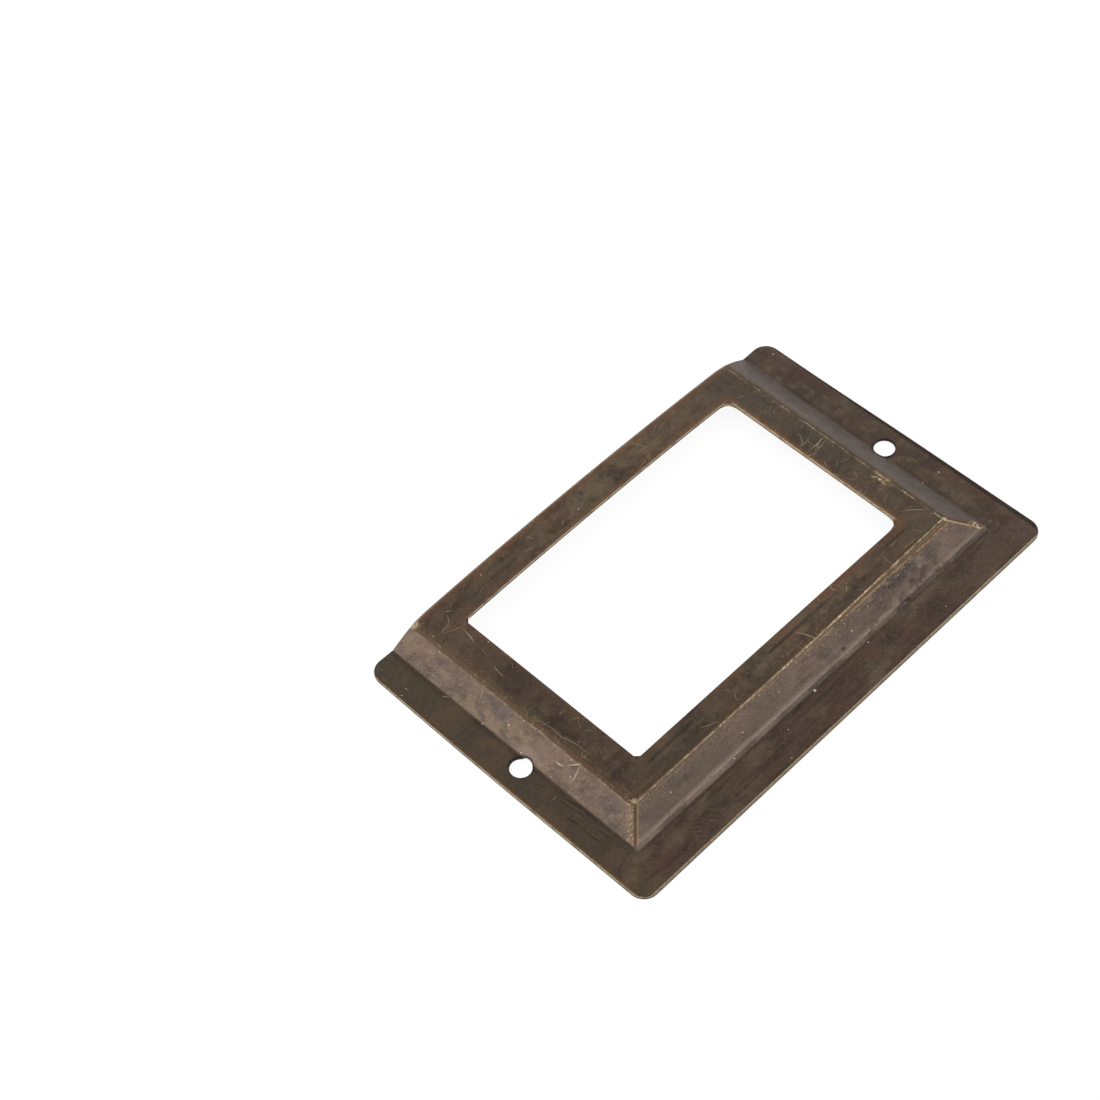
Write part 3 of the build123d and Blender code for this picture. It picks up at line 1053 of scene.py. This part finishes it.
def rubbed_and_highlit_edge(size, finish):
    """The rounding of the cut edge: partly rubbed brass and partly painted highlight where it faces -X or -Y,
    and painted shade elsewhere.

    It draws a thin bright line along the near edges, and a thin dark one of painted shade along the others
    and the screw holes.
    """
    material, tree = new_material("rubbed_and_highlit_edge")
    here, normal = surface(tree)
    # Painted light by the way the rounding faces: it stays bright towards -X and -Y and takes painted shade
    # otherwise
    facing = (normal, (-0.7, -0.7, 0.0))
    facing = add(tree, "VectorMath", facing, operation="DOT_PRODUCT").node.outputs["Value"]
    painted_shade_away = add(tree, "MapRange", (facing, 0.35, 0.05))
    low = add(tree, "SeparateXYZ", (here,)).node.outputs["Y"]
    front = add(tree, "MapRange", (low, -24.9, -25.1, 0.0, 0.6))
    side = add(tree, "VectorMath", (here,), operation="ABSOLUTE")
    centre = (side, (size.hole_x, 0.0, 0.0))
    reach = add(tree, "VectorMath", centre, operation="DISTANCE").node.outputs["Value"]
    # Painted shade on the rounding round the screw holes
    rim = size.hole / 2
    hole = add(tree, "MapRange", (reach, rim + 0.6, rim + 0.5))
    rows = (
        (finish.haze, (), 1.36, 0.45, 0.65, 0.7),
        (finish.dark, (), 0.731, 0.55, 0.75, 0.7),
        (finish.haze, (front,)),
        (finish.dark, (painted_shade_away,)),
        (finish.cut, (hole,)),
    )
    metal(tree, layered(tree, finish.bright, clouded(tree, here, *rows)), 0.35)
    return material


class MODEL_OT_label_frame(bpy.types.Operator):
    """Model the holder's one stamped sheet, which replaces the frame's plain solid"""

    bl_idname = "holder.label_frame"
    bl_label = "Label Frame"

    def execute(self, context):
        size = sizes_in_mm()
        finish = context.scene.holder_finish
        net_step = 0.8
        bpy.ops.object.select_all(action="DESELECT")
        bpy.ops.mesh.primitive_plane_add(size=1)
        piece = context.object
        piece.name = piece.data.name = "stamped_frame"
        bpy.ops.object.mode_set(mode="EDIT")
        cut_blank(size)
        punch_hole(size)
        mark_bends(size)
        raise_frame(size)
        divide(size, net_step)
        bpy.ops.object.mode_set(mode="OBJECT")
        add_modifier(piece, "MIRROR", merge_threshold=SAME)
        bpy.ops.object.mode_set(mode="EDIT")
        bow(size)
        bpy.ops.object.mode_set(mode="OBJECT")
        for finish_of in (antiqued_brass, sheared_edge, rubbed_and_highlit_edge):
            piece.data.materials.append(finish_of(size, finish))
        add_modifier(
            piece,
            "SOLIDIFY",
            thickness=size.sheet,
            offset=-1,
            use_even_offset=True,
            use_quality_normals=True,
            material_offset_rim=1,
        )
        bpy.ops.object.shade_smooth()
        add_modifier(
            piece,
            "BEVEL",
            width=size.edge_radius,
            segments=2,
            limit_method="ANGLE",
            angle_limit=radians(60),
            use_clamp_overlap=False,
            harden_normals=True,
            material=2,
        )
        bpy.ops.transform.resize(value=(MM, MM, MM), center_override=(0, 0, 0))
        bpy.ops.object.transform_apply(location=True, rotation=True, scale=True)
        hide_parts(CAD_NODE)
        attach(piece, "root")
        return {"FINISHED"}


def seen_white(tree):
    """Whether a ray comes from the camera, a reflection or glass, which see the white at full strength."""
    rays = add(tree, "LightPath").node.outputs
    seen = (rays["Is Camera Ray"], rays["Is Glossy Ray"])
    seen = (add(tree, "Math", seen, operation="ADD"), rays["Is Transmission Ray"])
    return add(tree, "Math", seen, operation="ADD", use_clamp=True)


def backdrop_material(look):
    """A matt white table: white to the camera and in reflections, but it takes the holder's shadow."""
    material, tree = new_material("white_table")
    glow = add(tree, "Emission", {"Color": look.backdrop, "Strength": 0.9})
    matt = add(tree, "BsdfDiffuse", {"Color": (0.2, 0.2, 0.2, 1.0)})
    both = add(tree, "AddShader", (glow, matt))
    plain = add(tree, "BsdfDiffuse", {"Color": (0.8, 0.8, 0.8, 1.0)})
    shader = add(tree, "MixShader", (seen_white(tree), plain, both))
    add(tree, "OutputMaterial", (shader,))
    return material


class STAGE_OT_studio(bpy.types.Operator):
    """Set the holder on a white table, with a soft lamp on each side and the camera"""

    bl_idname = "holder.studio"
    bl_label = "Studio"

    def execute(self, context):
        look = context.scene.studio_look
        scene = context.scene
        table_size, table_gap = 4.0, 0.02 * MM
        softbox_size, softbox_distance, softbox_elevation = 0.35, 0.5, radians(50)
        nearest, furthest = 0.01, 10.0
        scene.view_settings.view_transform = "Standard"
        bpy.ops.object.select_all(action="DESELECT")
        bpy.ops.mesh.primitive_plane_add(size=table_size, location=(0, 0, -table_gap))
        table = context.object
        table.name = "table"
        table.data.materials.append(backdrop_material(look))
        table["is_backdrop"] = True

        world = bpy.data.worlds.new("room")
        world.use_nodes = True
        world.node_tree.nodes.clear()
        tree = world.node_tree
        strength = add(tree, "MapRange", (seen_white(tree), 0.0, 1.0, look.fill, 1.0))
        glow = add(tree, "Background", {"Color": look.backdrop, "Strength": strength})
        add(tree, "OutputWorld", (glow,))
        scene.world = world

        aim = Vector((look.aim_x, look.aim_y, 0))
        turn = look.azimuth
        level_part = cos(look.elevation)
        forward = Vector((-sin(turn) * level_part, cos(turn) * level_part, -sin(look.elevation)))
        data = bpy.data.cameras.new("camera")
        data.lens = look.lens
        data.sensor_width = 36
        data.clip_start, data.clip_end = nearest, furthest
        camera = bpy.data.objects.new("camera", data)
        camera.rotation_mode = "QUATERNION"
        tilt = Matrix.Rotation(look.roll, 3, "Z").to_quaternion()
        camera.rotation_quaternion = forward.to_track_quat("-Z", "Y") @ tilt
        camera.location = aim - forward * look.distance
        scene.collection.objects.link(camera)
        scene.camera = camera

        for name, side, brightness in (("left_softbox", 1, look.left), ("right_softbox", -1, look.right)):
            toward = turn + side * pi / 2
            level_part = cos(softbox_elevation)
            direction = (-sin(toward) * level_part, cos(toward) * level_part, sin(softbox_elevation))
            direction = Vector(direction)
            lamp = bpy.data.lights.new(name, "AREA")
            lamp.shape = "SQUARE"
            lamp.size = softbox_size
            lamp.energy = brightness * pi * lamp.size**2
            softbox = bpy.data.objects.new(name, lamp)
            softbox.location = direction * softbox_distance
            softbox.rotation_mode = "QUATERNION"
            softbox.rotation_quaternion = direction.to_track_quat("Z", "Y")
            softbox.visible_camera = False
            scene.collection.objects.link(softbox)
        return {"FINISHED"}


class HOLDER_PT_sidebar(bpy.types.Panel):
    """The holder's sizes, colours and operators, in the 3D view's sidebar"""

    bl_label = "Label Holder"
    bl_space_type = "VIEW_3D"
    bl_region_type = "UI"
    bl_category = "Label Holder"

    def draw(self, context):
        for group, operator in (
            ("holder_sizes", "holder.label_frame"),
            ("holder_finish", None),
            ("studio_look", "holder.studio"),
        ):
            box = self.layout.box()
            for name in type(getattr(context.scene, group)).__annotations__:
                box.prop(getattr(context.scene, group), name)
            if operator:
                box.operator(operator)


CLASSES = (
    HolderSizes,
    HolderFinish,
    StudioLook,
    MODEL_OT_label_frame,
    STAGE_OT_studio,
    HOLDER_PT_sidebar,
)
GROUPS = {"holder_sizes": HolderSizes, "holder_finish": HolderFinish, "studio_look": StudioLook}


def register():
    for item in CLASSES:
        bpy.utils.register_class(item)
    for name, group in GROUPS.items():
        setattr(bpy.types.Scene, name, bpy.props.PointerProperty(type=group))


def unregister():
    for name in GROUPS:
        delattr(bpy.types.Scene, name)
    for item in reversed(CLASSES):
        bpy.utils.unregister_class(item)


def main():
    register()
    bpy.ops.holder.label_frame()
    bpy.ops.holder.studio()
    corners = {"cad": CAD_BOX, "visual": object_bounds()}
    {name: [list(corner) for corner in box] for name, box in corners.items()}


if __name__ == "__main__":
    main()
